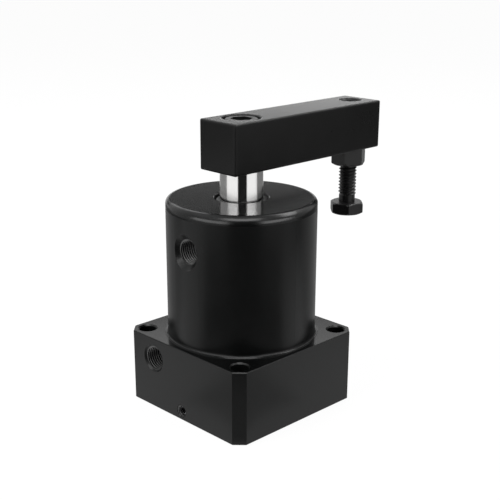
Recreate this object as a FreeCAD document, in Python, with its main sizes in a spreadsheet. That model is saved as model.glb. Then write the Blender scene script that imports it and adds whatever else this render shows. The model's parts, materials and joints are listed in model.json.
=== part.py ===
"""Swing clamp cylinder: a double-acting hydraulic cylinder whose rod turns a clamp arm through 90 degrees.

The rod rises out of the barrel. Four balls in the foot of the hollow rod run in grooves of a fixed
guide post: each groove is straight over the clamp stroke, then winds a quarter turn round the post
over the swing stroke, so the arm goes straight down onto the work and swings clear when released.

Frame: +Z up along the rod, origin at the centre of the base's bottom face, both ports face -Y, and
the arm reaches along +Y. The model stands where the clamp stroke ends and the swing stroke begins.
"""
import FreeCAD, Part
import os
import re
import Sketcher

# Driving sizes in millimetres, in the order in which the pieces are made.
SIZES = {
    # body: bore, barrel and square base; its heights follow from what it holds and from the strokes
    "bore_d": 50,
    "barrel_wall": 13.5,
    "barrel_round": 2.5,
    "foot_round": 1.4,
    "base_step": 4,
    "base_corner": 5,
    "mount_inset": 7.5,
    "mount_hole_d": 9,
    "mount_chamfer": 0.7,
    # ports, both with a G1/4 thread
    "port_thread_d": 13.157,
    "port_drill_d": 6,
    "port_floor": 1.5,
    "base_port_depth": 12,
    "base_port_inset": 3.5,
    "base_port_margin": 1.5,
    "base_over_port": 11,
    "base_port_mouth_d": 15,
    "barrel_port_margin": 0.5,
    "barrel_port_mouth_d": 18.4,
    # gland at the top of the body, with walls measured from the rod
    "wiper_wall": 2.9,
    "wiper_depth": 3.4,
    "wiper_height": 2.6,
    "wiper_lip": 1.3,
    "wiper_rise": 0.4,
    "gland_web": 0.8,
    "gland_gap": 0.5,
    "rod_seal_wall": 4,
    "rod_seal_height": 5,
    "rod_seal_lip": 1.2,
    "rod_seal_notch": 2.75,
    "bush_wall": 2,
    "bush_length": 8,
    # bottom cover, screwed into the base and locked by a set screw
    "cover_step": 5,
    "cover_seat": 12,
    "cover_recess": 0.3,
    "cover_spigot": 8,
    "cover_ring_cord": 2.65,
    "spanner_pitch": 42,
    "spanner_hole_d": 5,
    "spanner_depth": 6,
    "lock_screw_d": 6,
    "lock_web": 0.7,
    "lock_bite": 1,
    "lock_screw_inset": 1.5,
    "lock_socket": 3,
    "lock_socket_depth": 3.5,
    # guide post and what holds it to the cover, from its stub outwards
    "post_d": 15,
    "post_stub_d": 12,
    "post_stub_proud": 1,
    "post_flange": 3,
    "post_flange_rim": 1,
    "post_margin": 4,
    "post_nut_across": 18,
    "post_nut_height": 6,
    "post_nut_seat": 9,
    "post_nut_room": 2.6,
    "post_ring_cord": 1.9,
    "post_ring_web": 1,
    "post_pin_d": 3,
    "post_pin_web": 0.53,
    "post_pin_length": 8,
    # strokes, balls and grooves
    "clamp_stroke": 11,
    "swing_stroke": 15,
    "swing_angle": 90,
    "ball_d": 5,
    "ball_height": 8,
    "ball_cover": 0.1,
    "ball_gap": 0.05,
    "groove_gap": 0.1,
    # piston rod
    "rod_d": 22,
    "rod_shoulder": 0.5,
    "rod_thread_step": 0.5,
    "rod_end": 0.9,
    "rod_post_gap": 0.1,
    "rod_bore_spare": 2,
    "rod_screw_spare": 2.6,
    "arm_clearance": 3.5,
    # piston, its nut and its rings
    "piston_gap": 0.1,
    "piston_length": 26,
    "piston_collar": 8.9,
    "piston_collar_d": 36,
    "piston_chamfer": 0.8,
    "piston_nut_across": 30,
    "piston_nut_height": 7,
    "piston_ring_cord": 1.75,
    "piston_ring_height": 19,
    "wear_ring_depth": 2.1,
    "wear_ring_width": 4,
    "wear_ring_low": 2,
    "wear_ring_drop": 1,
    "seal_depth": 3.4,
    "seal_width": 6,
    "seal_rise": 3.5,
    "seal_face": 1.65,
    # clamp arm, its screw and its dowel pin
    "arm_width": 25.5,
    "arm_thickness": 25.5,
    "arm_back": 16.4,
    "arm_nose": 10.5,
    "arm_round": 0.9,
    "spigot_wall": 1.5,
    "spigot": 8,
    "screw_d": 12,
    "screw_head_d": 18,
    "screw_head": 12,
    "screw_length": 30,
    "screw_socket": 10,
    "screw_socket_depth": 6,
    "screw_inset": 0.4,
    "screw_well_gap": 0.8,
    "screw_hole_gap": 0.5,
    "dowel_d": 2.5,
    "dowel_length": 12,
    # contact bolt and its lock nut
    "bolt_reach": 82.5,
    "bolt_d": 10,
    "bolt_length": 55,
    "bolt_across": 17,
    "bolt_head": 6.4,
    "bolt_neck": 3.5,
    "bolt_neck_step": 0.5,
    "bolt_turn": 18,
    "bolt_mouth": 1.25,
    "bolt_showing": 21.4,
    "lock_nut_height": 10,
    "lock_nut_turn": -1,
    # fits, on the radius, and edges that several pieces share
    "seat_gap": 0.02,
    "run_gap": 0.05,
    "thread_gap": 0.05,
    "stop_gap": 0.1,
    "edge_break": 0.4,
    "end_chamfer": 1,
    "hex_break": 0.25,
    "ring_room": 0.65,
    "overrun": 1,
}

# Places that follow from the driving sizes. Each is an expression of the sheet's names.
# Heights, from the bottom cover up through the piston and the gland to the arm:
COVER_TOP = "(cover_seat + cover_spigot)"
COVER_RING_Z = "(cover_seat + cover_spigot / 2)"
FLANGE_TOP = f"({COVER_TOP} + post_flange)"
ROD_BOTTOM = f"({FLANGE_TOP} + clamp_stroke + stop_gap)"
PISTON_NUT_BOTTOM = f"({ROD_BOTTOM} + rod_end)"
PISTON_BOTTOM = f"({PISTON_NUT_BOTTOM} + piston_nut_height)"
PISTON_TOP = f"({PISTON_BOTTOM} + piston_length)"
COLLAR_TOP = f"({PISTON_TOP} + piston_collar)"
BORE_TOP = f"({COLLAR_TOP} + swing_stroke + stop_gap)"
BUSH_TOP = f"({BORE_TOP} + bush_length)"
SEAL_BOTTOM = f"({BUSH_TOP} + gland_web)"
SEAL_TOP = f"({SEAL_BOTTOM} + rod_seal_height)"
WIPER_FLOOR = f"({SEAL_TOP} + gland_web)"
BODY_TOP = f"({WIPER_FLOOR} + wiper_depth)"
ARM_BOTTOM = f"({BODY_TOP} + clamp_stroke + arm_clearance)"
ARM_TOP = f"({ARM_BOTTOM} + arm_thickness)"
BASE_PORT_Z = f"({FLANGE_TOP} + base_port_margin + port_drill_d / 2)"
BASE_TOP = f"({BASE_PORT_Z} + base_over_port)"
BARREL_PORT_Z = f"({BORE_TOP} - barrel_port_margin - port_drill_d / 2)"
LOCK_Z = "(cover_recess + end_chamfer + lock_screw_d / 2 + lock_web)"
POST_STUB_END = "(post_nut_seat - post_nut_height - post_stub_proud)"
BALL_Z = f"({PISTON_BOTTOM} + ball_height)"
GROOVE_R = "(ball_d / 2 + groove_gap)"
POST_TOP = f"({BALL_Z} + swing_stroke + {GROOVE_R} + post_margin)"
ROD_BORE_TOP = f"({POST_TOP} + clamp_stroke + rod_bore_spare)"
SPIGOT_TOP = f"({ARM_BOTTOM} + spigot)"
SCREW_SEAT = f"({ARM_TOP} - screw_inset - screw_head)"
SCREW_TIP = f"({SCREW_SEAT} - screw_length)"
LOCK_NUT_BOTTOM = f"({ARM_BOTTOM} - lock_nut_height)"
BOLT_HEAD_TOP = f"({LOCK_NUT_BOTTOM} - bolt_showing)"
# Radii and distances from the rod's axis:
BORE_R = "(bore_d / 2)"
BARREL_R = f"({BORE_R} + barrel_wall)"
BASE_HALF = f"({BARREL_R} + base_step)"
BASE_PORT_X = f"({BORE_R} - base_port_inset)"
COVER_R = f"({BORE_R} + cover_step)"
LOCK_R = f"({COVER_R} - lock_bite)"
ROD_R = "(rod_d / 2)"
ROD_SEAT_R = f"({ROD_R} - rod_shoulder)"
ROD_THREAD_R = f"({ROD_SEAT_R} - rod_thread_step)"
ROD_BORE_R = "(post_d / 2 + rod_post_gap)"
WIPER_R = f"({ROD_R} + wiper_wall)"
GLAND_R = f"({ROD_R} + gland_gap)"
ROD_SEAL_R = f"({ROD_R} + rod_seal_wall)"
BUSH_R = f"({ROD_R} + bush_wall)"
BALL_PATH_R = f"({ROD_SEAT_R} - ball_d / 2 - ball_cover)"
POST_RING_R = "(post_stub_d / 2 + post_ring_web + post_ring_cord * ring_room)"
POST_PIN_R = f"({POST_RING_R} + post_ring_cord * ring_room + post_pin_web + post_pin_d / 2)"
POST_FLANGE_R = f"({POST_PIN_R} + post_pin_d / 2 + post_flange_rim)"
POST_WELL_R = "(post_nut_across / 2 / cos(30) + post_nut_room)"
SPIGOT_R = "(screw_d / 2 + spigot_wall)"
DOWEL_R = f"({SPIGOT_R} / 2 + rod_d / 4)"
# Fixed numbers: how many balls, and the slopes of a drill's point and of a hexagon's broken corners.
BALL_COUNT = 4
DRILL_TILT = 31
HEX_TILT = 30

doc = FreeCAD.newDocument("SwingClamp")
sheet = doc.addObject("Spreadsheet::Sheet", "Sheet")
for row, (alias, value) in enumerate(SIZES.items(), start=1):
    sheet.set(f"A{row}", alias)
    sheet.set(f"B{row}", str(value))
    sheet.setAlias(f"B{row}", alias)
doc.recompute()


def bound(text):
    """An expression with the sheet's name put before each of its sizes; functions are left alone."""
    return re.sub(r"[a-z]\w*(?!\w*\()", lambda word: "Sheet." + word.group(0), text)


def number(text):
    """The value of an expression, in millimetres or degrees."""
    value = sheet.evalExpression(bound(text))
    return float(getattr(value, "Value", value))


def tie(thing, prop, text):
    """Binds a property to an expression."""
    thing.setExpression(prop, bound(text))


def new_body(name):
    body = doc.addObject("PartDesign::Body", name)
    body.Label = name
    return body


def new_sketch(body, name, plane, offset=None):
    """A sketch on one of the body's origin planes, moved off the origin by the offset's expressions."""
    sketch = body.newObject("Sketcher::SketchObject", name)
    support = next(item for item in body.Origin.OriginFeatures if item.Role == plane)
    sketch.AttachmentSupport = [(support, "")]
    sketch.MapMode = "FlatFace"
    for axis, text in (offset or {}).items():
        tie(sketch, f"AttachmentOffset.Base.{axis}", text)
    return sketch


def place_point(sketch, shape, point, across, up):
    """Ties a point of a sketch to its two distances from the sketch's origin."""
    for kind, text in (("DistanceX", across), ("DistanceY", up)):
        index = sketch.addConstraint(Sketcher.Constraint(kind, -1, 1, shape, point, number(text)))
        tie(sketch, f"Constraints[{index}]", text)


def outline(body, name, corners, plane="XZ_Plane", offset=None):
    """A closed straight-sided outline with each corner tied to the sheet."""
    sketch = new_sketch(body, name, plane, offset)
    points = [FreeCAD.Vector(number(across), number(up), 0) for across, up in corners]
    for start, end in zip(points, points[1:] + points[:1]):
        sketch.addGeometry(Part.LineSegment(start, end))
    for index in range(len(points)):
        following = (index + 1) % len(points)
        sketch.addConstraint(Sketcher.Constraint("Coincident", index, 2, following, 1))
    for index, (across, up) in enumerate(corners):
        place_point(sketch, index, 1, across, up)
    return sketch


def circles(body, name, centres, radius, plane="XY_Plane", offset=None):
    """A sketch of equal circles with their centres and radius tied to the sheet."""
    sketch = new_sketch(body, name, plane, offset)
    for across, up in centres:
        centre = FreeCAD.Vector(number(across), number(up), 0)
        index = sketch.addGeometry(Part.Circle(centre, FreeCAD.Vector(0, 0, 1), number(radius)))
        size = sketch.addConstraint(Sketcher.Constraint("Radius", index, number(radius)))
        tie(sketch, f"Constraints[{size}]", radius)
        place_point(sketch, index, 3, across, up)
    return sketch


def turned(body, name, corners, cut=False, plane="XZ_Plane", offset=None):
    """A profile of radius and height turned about the sketch's own vertical axis."""
    sketch = outline(body, f"{name}_profile", corners, plane, offset)
    kind = "PartDesign::Groove" if cut else "PartDesign::Revolution"
    feature = body.newObject(kind, name)
    feature.Profile = sketch
    feature.ReferenceAxis = (sketch, ["V_Axis"])
    feature.Angle = 360
    doc.recompute()
    return feature


def raised(body, name, sketch, length):
    """A pad of the sketch, away from the sketch's plane."""
    feature = body.newObject("PartDesign::Pad", name)
    feature.Profile = sketch
    tie(feature, "Length", length)
    doc.recompute()
    return feature


def sunk(body, name, sketch, depth=None):
    """A pocket of the sketch: to a depth below its plane, or through the whole piece both ways."""
    feature = body.newObject("PartDesign::Pocket", name)
    feature.Profile = sketch
    if depth is None:
        feature.Type = "ThroughAll"
        feature.Midplane = True
    else:
        tie(feature, "Length", depth)
    doc.recompute()
    return feature


def hexagon(body, name, across, level, turn="0", centre_y="0"):
    """A hexagon of the given width across its flats at a level, with one corner turned from +X."""
    reach = f"({across}) / 2 / cos(30)"
    corners = [
        (f"{reach} * cos({turn} + {60 * side})", f"{centre_y} + {reach} * sin({turn} + {60 * side})")
        for side in range(6)
    ]
    return outline(body, name, corners, "XY_Plane", {"z": level})


def dress(body, name, kind, feature, size, test):
    """A fillet or chamfer on the edges of a feature that pass the test."""
    edges = [f"Edge{index + 1}" for index, edge in enumerate(feature.Shape.Edges) if test(edge)]
    if not edges:
        raise ValueError(f"{name} found no edge")
    result = body.newObject(f"PartDesign::{kind}", name)
    result.Base = (feature, edges)
    tie(result, "Radius" if kind == "Fillet" else "Size", size)
    doc.recompute()
    return result


def is_ring(edge, radius, level):
    """Whether an edge is a whole circle about a vertical axis, of this radius, at this level."""
    if not isinstance(edge.Curve, Part.Circle) or not edge.isClosed():
        return False
    flat = abs(abs(edge.Curve.Axis.z) - 1) < 1e-6
    return flat and abs(edge.Curve.Radius - number(radius)) < 1e-4 and lies_at(edge, level)


def lies_at(edge, level):
    """Whether an edge lies in the horizontal plane at a level."""
    box = edge.BoundBox
    return abs(box.ZMin - number(level)) < 1e-4 and abs(box.ZMax - number(level)) < 1e-4


def ring(name, centre_radius, cord, level):
    """A rubber ring of round cord."""
    torus = doc.addObject("Part::Torus", name)
    torus.Label = name
    tie(torus, "Radius1", centre_radius)
    tie(torus, "Radius2", f"({cord}) / 2")
    tie(torus, "Placement.Base.z", level)
    return torus


def break_hexagon(body, name, across, low, high, top=True, bottom=True, centre_y="0"):
    """Turns the corners of a hexagon down to a 30 degree cone at its top and bottom faces."""
    inner = f"(({across}) / 2 - hex_break)"
    outer = f"(({across}) / 2 / cos(30) + overrun)"
    drop = f"(({outer} - {inner}) * tan({HEX_TILT}))"
    for label, wanted, level, sign in (("top", top, high, "-"), ("bottom", bottom, low, "+")):
        if wanted:
            corners = [(inner, level), (outer, level), (outer, f"{level} {sign} {drop}")]
            turned(body, f"{name}_{label}", corners, cut=True, offset={"z": f"-({centre_y})"})


def make_body():
    """The body: a square base and a barrel machined from one block, with bore, gland and ports."""
    body = new_body("clamp_body")
    half = BASE_HALF
    inset = f"({half} - base_corner)"
    square = [(half, f"-{inset}"), (half, inset), (inset, half), (f"-{inset}", half),
              (f"-{half}", inset), (f"-{half}", f"-{inset}"), (f"-{inset}", f"-{half}"), (inset, f"-{half}")]
    block = raised(body, "base_block", outline(body, "base_outline", square, "XY_Plane"), BASE_TOP)
    block = dress(body, "base_edges", "Chamfer", block, "edge_break",
                  lambda edge: lies_at(edge, "0") or lies_at(edge, BASE_TOP))
    barrel = turned(body, "barrel", [
        ("0", f"{BASE_TOP} - overrun"), (BARREL_R, f"{BASE_TOP} - overrun"),
        (BARREL_R, BODY_TOP), ("0", BODY_TOP)])
    barrel = dress(body, "barrel_rim", "Fillet", barrel, "barrel_round",
                   lambda edge: is_ring(edge, BARREL_R, BODY_TOP))
    dress(body, "barrel_foot", "Fillet", barrel, "min(foot_round; base_step - 2 * edge_break)",
          lambda edge: is_ring(edge, BARREL_R, BASE_TOP))
    cover_r = f"({COVER_R} + thread_gap)"
    cavity = turned(body, "cavity", [
        ("0", "-overrun"), (cover_r, "-overrun"), (cover_r, "cover_seat"), (BORE_R, "cover_seat"),
        (BORE_R, BORE_TOP), (BUSH_R, BORE_TOP), (BUSH_R, BUSH_TOP), (GLAND_R, BUSH_TOP),
        (GLAND_R, SEAL_BOTTOM), (ROD_SEAL_R, SEAL_BOTTOM), (ROD_SEAL_R, SEAL_TOP),
        (GLAND_R, SEAL_TOP), (GLAND_R, WIPER_FLOOR), (WIPER_R, WIPER_FLOOR),
        (WIPER_R, f"{BODY_TOP} + overrun"), ("0", f"{BODY_TOP} + overrun")], cut=True)
    dress(body, "recess_edge", "Chamfer", cavity, "edge_break",
          lambda edge: is_ring(edge, WIPER_R, BODY_TOP))
    reach = f"({BASE_HALF} - mount_inset)"
    places = [(f"{x} * {reach}", f"{y} * {reach}") for x in (-1, 1) for y in (-1, 1)]
    holes = sunk(body, "mount_holes", circles(body, "mount_circles", places, "mount_hole_d / 2"))
    dress(body, "mount_edges", "Chamfer", holes, "mount_chamfer",
          lambda edge: is_ring(edge, "mount_hole_d / 2", BASE_TOP))
    chord = f"sqrt({BORE_R} ^ 2 - ({BASE_PORT_X} + port_drill_d / 2) ^ 2)"
    cut_port(body, "base_port", BASE_HALF, "base_port_mouth_d / 2", f"-{half} + base_port_depth", chord,
             {"x": f"-{BASE_PORT_X}", "z": BASE_PORT_Z})
    cut_port(body, "barrel_port", BARREL_R, "barrel_port_mouth_d / 2", f"-{BORE_R} - port_floor",
             f"({BORE_R} - port_drill_d / 2)", {"z": BARREL_PORT_Z})
    lock = "(lock_screw_d / 2 + thread_gap)"
    turned(body, "lock_screw_hole", [
        ("0", f"-{half} - overrun"), (f"{lock} + edge_break + overrun", f"-{half} - overrun"),
        (lock, f"-{half} + edge_break"), (lock, f"-{BORE_R}"), ("0", f"-{BORE_R}")],
        cut=True, plane="XY_Plane", offset={"z": LOCK_Z})


def cut_port(body, name, face, mouth, floor, inner, offset):
    """A port drilled along +Y from a face: countersunk mouth, thread, drill point and oil way."""
    thread = "port_thread_d / 2"
    drill = "port_drill_d / 2"
    turned(body, name, [
        ("0", f"-{face} - overrun"), (f"{mouth} + overrun", f"-{face} - overrun"),
        (thread, f"-{face} + {mouth} - {thread}"), (thread, floor),
        (drill, f"{floor} + ({thread} - {drill}) * tan({DRILL_TILT})"), (drill, f"-{inner}"),
        ("0", f"-{inner}")], cut=True, plane="XY_Plane", offset=offset)


def make_gland():
    """The rod's bush, lip seal and wiper, in the top of the body."""
    rod = f"({ROD_R} + run_gap)"
    bush = new_body("rod_guide_bush")
    turned(bush, "bush", [
        (rod, BORE_TOP), (f"{BUSH_R} - seat_gap", BORE_TOP),
        (f"{BUSH_R} - seat_gap", BUSH_TOP), (rod, BUSH_TOP)])
    seal = new_body("rod_seal")
    outer = f"({ROD_SEAL_R} - seat_gap)"
    heel = f"({SEAL_BOTTOM} + rod_seal_notch)"
    turned(seal, "lip_seal", [
        (rod, SEAL_BOTTOM), (f"{rod} + rod_seal_lip", SEAL_BOTTOM),
        (f"({rod} + {outer}) / 2", heel), (f"{outer} - rod_seal_lip", SEAL_BOTTOM),
        (outer, SEAL_BOTTOM), (outer, SEAL_TOP), (rod, SEAL_TOP)])
    wiper = new_body("wiper_ring")
    case = f"({WIPER_R} - seat_gap)"
    top = f"({WIPER_FLOOR} + wiper_height)"
    turned(wiper, "wiper", [
        (f"{rod} + wiper_lip / 2", WIPER_FLOOR), (case, WIPER_FLOOR), (case, top),
        (f"{rod} + wiper_lip", top), (f"{rod} + wiper_lip / 2", f"{top} + wiper_rise"),
        (rod, f"{top} + wiper_rise"), (rod, f"{top} - wiper_lip")])


def make_cover():
    """The bottom cover with its ring, and the set screw that locks its thread."""
    cover = new_body("bottom_cover")
    notch = "(lock_screw_d / 2 + 2 * thread_gap)"
    spigot = f"({BORE_R} - seat_gap)"
    groove = f"({BORE_R} - cover_ring_cord)"
    half_groove = "(cover_ring_cord * ring_room)"
    half_post_groove = "(post_ring_cord * ring_room)"
    stub = "(post_stub_d / 2 + seat_gap)"
    turned(cover, "cover", [
        (POST_WELL_R, "cover_recess"), (f"{COVER_R} - end_chamfer", "cover_recess"),
        (COVER_R, "cover_recess + end_chamfer"), (COVER_R, f"{LOCK_Z} - {notch}"),
        (LOCK_R, f"{LOCK_Z} - {notch}"), (LOCK_R, f"{LOCK_Z} + {notch}"),
        (COVER_R, f"{LOCK_Z} + {notch}"), (COVER_R, "cover_seat"), (spigot, "cover_seat"),
        (spigot, f"{COVER_RING_Z} - {half_groove}"), (groove, f"{COVER_RING_Z} - {half_groove}"),
        (groove, f"{COVER_RING_Z} + {half_groove}"), (spigot, f"{COVER_RING_Z} + {half_groove}"),
        (spigot, f"{COVER_TOP} - edge_break"), (f"{spigot} - edge_break", COVER_TOP),
        (f"{POST_RING_R} + {half_post_groove}", COVER_TOP),
        (f"{POST_RING_R} + {half_post_groove}", f"{COVER_TOP} - post_ring_cord"),
        (f"{POST_RING_R} - {half_post_groove}", f"{COVER_TOP} - post_ring_cord"),
        (f"{POST_RING_R} - {half_post_groove}", COVER_TOP),
        (stub, COVER_TOP), (stub, "post_nut_seat"), (POST_WELL_R, "post_nut_seat")])
    pin = circles(cover, "pin_circle", [(POST_PIN_R, "0")],
                  "post_pin_d / 2 + seat_gap", offset={"z": COVER_TOP})
    sunk(cover, "pin_hole", pin, "post_pin_length - post_flange + 2 * stop_gap")
    holes = circles(cover, "spanner_circles", [("0", "spanner_pitch / 2"), ("0", "-spanner_pitch / 2")],
                    "spanner_hole_d / 2", offset={"z": "cover_recess + spanner_depth"})
    sunk(cover, "spanner_holes", holes, "spanner_depth + overrun")
    ring("cover_o_ring", f"{BORE_R} - cover_ring_cord / 2", "cover_ring_cord - seat_gap", COVER_RING_Z)
    screw = new_body("cover_lock_screw")
    outer_end = f"({BASE_HALF} - lock_screw_inset)"
    lock = "lock_screw_d / 2"
    turned(screw, "set_screw", [
        ("0", f"-{outer_end}"), (f"{lock} - edge_break", f"-{outer_end}"),
        (lock, f"-{outer_end} + edge_break"), (lock, f"-{LOCK_R} - edge_break"),
        (f"{lock} - edge_break", f"-{LOCK_R}"), ("0", f"-{LOCK_R}")],
        plane="XY_Plane", offset={"z": LOCK_Z})
    reach = "lock_socket / 2 / cos(30)"
    corners = [(f"{reach} * cos({60 * side})", f"{LOCK_Z} + {reach} * sin({60 * side})")
               for side in range(6)]
    socket = outline(screw, "socket_outline", corners, "XZ_Plane", {"z": outer_end})
    sunk(screw, "socket", socket, "lock_socket_depth")


def groove_tool():
    """The room that the balls need: each one's path with a sphere at its ends and at its bend."""
    tools = []
    radius, circle = number(GROOVE_R), number(BALL_PATH_R)
    low, bend = number(f"{BALL_Z} - clamp_stroke"), number(BALL_Z)
    swing, angle = number("swing_stroke"), number("swing_angle")
    for start in range(0, 360, 360 // BALL_COUNT):
        helix = Part.makeHelix(swing * 360 / angle, swing, circle)
        helix.translate(FreeCAD.Vector(0, 0, bend))
        edge = helix.Edges[0]
        mouth = edge.valueAt(edge.FirstParameter)
        section = Part.Wire([Part.makeCircle(radius, mouth, edge.tangentAt(edge.FirstParameter))])
        wound = Part.Wire(helix.Edges).makePipeShell([section], True, True)
        straight = Part.makeCylinder(radius, bend - low, FreeCAD.Vector(circle, 0, low))
        ends = [FreeCAD.Vector(circle, 0, low), FreeCAD.Vector(circle, 0, bend),
                edge.valueAt(edge.LastParameter)]
        balls = [Part.makeSphere(radius, centre) for centre in ends]
        tool = wound.fuse([straight] + balls)
        tool.rotate(FreeCAD.Vector(0, 0, 0), FreeCAD.Vector(0, 0, 1), start)
        tools.append(tool)
    return Part.makeCompound(tools)


def make_guide_post():
    """The fixed post with its cam grooves, and its pin, ring and nut in the bottom cover."""
    blank = new_body("guide_post_blank")
    turned(blank, "post", [
        ("0", POST_STUB_END), ("post_stub_d / 2 - end_chamfer", POST_STUB_END),
        ("post_stub_d / 2", f"{POST_STUB_END} + end_chamfer"), ("post_stub_d / 2", COVER_TOP),
        (POST_FLANGE_R, COVER_TOP), (POST_FLANGE_R, FLANGE_TOP),
        ("post_d / 2", FLANGE_TOP), ("post_d / 2", f"{POST_TOP} - end_chamfer"),
        ("post_d / 2 - end_chamfer", POST_TOP), ("0", POST_TOP)])
    hole = circles(blank, "pin_circle_post", [(POST_PIN_R, "0")],
                   "post_pin_d / 2 + seat_gap", offset={"z": f"{FLANGE_TOP} - stop_gap"})
    sunk(blank, "pin_hole_post", hole, "post_flange + overrun")
    grooves = doc.addObject("Part::Feature", "cam_grooves")
    grooves.Shape = groove_tool()
    post = doc.addObject("Part::Cut", "guide_post")
    post.Label = "guide_post"
    post.Base = blank
    post.Tool = grooves
    pin = new_body("guide_post_pin")
    pad = circles(pin, "pin_section", [(POST_PIN_R, "0")], "post_pin_d / 2",
                  offset={"z": f"{FLANGE_TOP} - 2 * stop_gap - post_pin_length"})
    raised(pin, "pin", pad, "post_pin_length")
    ring("guide_post_o_ring", POST_RING_R, "post_ring_cord", f"{COVER_TOP} - post_ring_cord / 2")
    hex_nut("guide_post_nut", "post_nut_across", "post_nut_height", "post_stub_d / 2 + thread_gap",
            "(post_nut_seat - post_nut_height)", "0", "0")


def hex_nut(name, across, height, hole_r, low, turn, centre_y):
    """A hexagon nut with its thread bored out and its corners broken."""
    nut = new_body(name)
    raised(nut, f"{name}_hexagon", hexagon(nut, f"{name}_outline", across, low, turn, centre_y), height)
    bore = circles(nut, f"{name}_circle", [("0", centre_y)], hole_r)
    sunk(nut, f"{name}_bore", bore)
    break_hexagon(nut, f"{name}_cone", across, low, f"({low} + {height})", centre_y=centre_y)


def make_rod():
    """The hollow piston rod: thread and ball pockets at its foot, spigot and screw hole at its top."""
    rod = new_body("piston_rod")
    spot = f"({ROD_BORE_TOP} + {ROD_BORE_R} * tan({DRILL_TILT}))"
    hole_r = "(screw_d / 2 + thread_gap)"
    hole_bottom = f"({SCREW_TIP} - rod_screw_spare)"
    turned(rod, "rod", [
        (ROD_BORE_R, ROD_BOTTOM), (f"{ROD_THREAD_R} - edge_break", ROD_BOTTOM),
        (ROD_THREAD_R, f"{ROD_BOTTOM} + edge_break"), (ROD_THREAD_R, PISTON_BOTTOM),
        (ROD_SEAT_R, PISTON_BOTTOM), (ROD_SEAT_R, COLLAR_TOP), (ROD_R, COLLAR_TOP),
        (ROD_R, f"{ARM_BOTTOM} - edge_break"), (f"{ROD_R} - edge_break", ARM_BOTTOM),
        (SPIGOT_R, ARM_BOTTOM), (SPIGOT_R, f"{SPIGOT_TOP} - edge_break"),
        (f"{SPIGOT_R} - edge_break", SPIGOT_TOP), (hole_r, SPIGOT_TOP), (hole_r, hole_bottom),
        ("0", f"{hole_bottom} - {hole_r} * tan({DRILL_TILT})"), ("0", spot),
        (ROD_BORE_R, ROD_BORE_TOP)])
    pocket_r = "ball_d / 2 + ball_gap"
    for plane in ("XZ_Plane", "YZ_Plane"):
        pocket = circles(rod, f"pocket_{plane[:2]}", [("0", BALL_Z)], pocket_r, plane)
        sunk(rod, f"ball_pockets_{plane[:2]}", pocket)
    hole = circles(rod, "dowel_circle", [("0", f"-{DOWEL_R}")], "dowel_d / 2 + seat_gap",
                   offset={"z": ARM_BOTTOM})
    sunk(rod, "dowel_hole", hole, "dowel_length / 2")


def make_balls():
    """The four balls, half in the rod's pockets and half in the post's grooves."""
    balls = []
    for index in range(BALL_COUNT):
        ball = doc.addObject("Part::Sphere", f"ball_{index + 1}")
        turn = index * 360 // BALL_COUNT
        tie(ball, "Radius", "ball_d / 2")
        tie(ball, "Placement.Base.x", f"{BALL_PATH_R} * cos({turn})")
        tie(ball, "Placement.Base.y", f"{BALL_PATH_R} * sin({turn})")
        tie(ball, "Placement.Base.z", BALL_Z)
        balls.append(ball)
    group = doc.addObject("Part::Compound", "guide_balls")
    group.Label = "guide_balls"
    group.Links = balls


def make_piston():
    """The piston with its stop collar, its nut, and the rings in its grooves."""
    piston = new_body("piston")
    land = f"({BORE_R} - piston_gap)"
    wear = f"({BORE_R} - wear_ring_depth - run_gap)"
    seal = f"({BORE_R} - seal_depth - run_gap)"
    static = f"({ROD_SEAT_R} + piston_ring_cord)"
    half_static = "(piston_ring_cord * ring_room)"
    wear_high = "(piston_length - wear_ring_drop - wear_ring_width)"
    seal_low = "(wear_ring_low + wear_ring_width + seal_rise)"

    def level(height):
        return f"({PISTON_BOTTOM} + {height})"

    def groove(bottom, start, width):
        low, high = level(f"{start} - run_gap"), level(f"{start} + {width} + run_gap")
        return [(land, low), (bottom, low), (bottom, high), (land, high)]

    bore = f"({ROD_SEAT_R} + seat_gap)"
    turned(piston, "piston_turned", [
        (bore, PISTON_BOTTOM), (f"{land} - piston_chamfer", PISTON_BOTTOM),
        (land, level("piston_chamfer")), *groove(wear, "wear_ring_low", "wear_ring_width"),
        *groove(seal, seal_low, "seal_width"), *groove(wear, wear_high, "wear_ring_width"),
        (land, f"{PISTON_TOP} - piston_chamfer / 2"), (f"{land} - piston_chamfer / 2", PISTON_TOP),
        ("piston_collar_d / 2", PISTON_TOP), ("piston_collar_d / 2", COLLAR_TOP), (bore, COLLAR_TOP),
        (bore, level(f"piston_ring_height + {half_static}")),
        (static, level(f"piston_ring_height + {half_static}")),
        (static, level(f"piston_ring_height - {half_static}")),
        (bore, level(f"piston_ring_height - {half_static}"))])
    ring("piston_o_ring", f"{ROD_SEAT_R} + piston_ring_cord / 2", "piston_ring_cord - seat_gap",
         level("piston_ring_height"))
    hex_nut("piston_nut", "piston_nut_across", "piston_nut_height", f"{ROD_THREAD_R} + thread_gap",
            PISTON_NUT_BOTTOM, "0", "0")
    outer = f"({BORE_R} - run_gap)"
    for name, start in (("piston_wear_ring_low", "wear_ring_low"), ("piston_wear_ring_high", wear_high)):
        band = new_body(name)
        inner = f"({BORE_R} - wear_ring_depth)"
        turned(band, f"{name}_band", [
            (inner, level(start)), (outer, level(start)),
            (outer, level(f"{start} + wear_ring_width")), (inner, level(f"{start} + wear_ring_width"))])
    face = new_body("piston_seal")
    inner = f"({outer} - seal_face)"
    turned(face, "seal_face_ring", [
        (inner, level(seal_low)), (outer, level(seal_low)),
        (outer, level(f"{seal_low} + seal_width")), (inner, level(f"{seal_low} + seal_width"))])
    cord = f"({inner} - {seal} - 2 * run_gap)"
    ring("piston_seal_energiser", f"{seal} + run_gap + {cord} / 2", cord,
         level(f"{seal_low} + seal_width / 2"))


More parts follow.
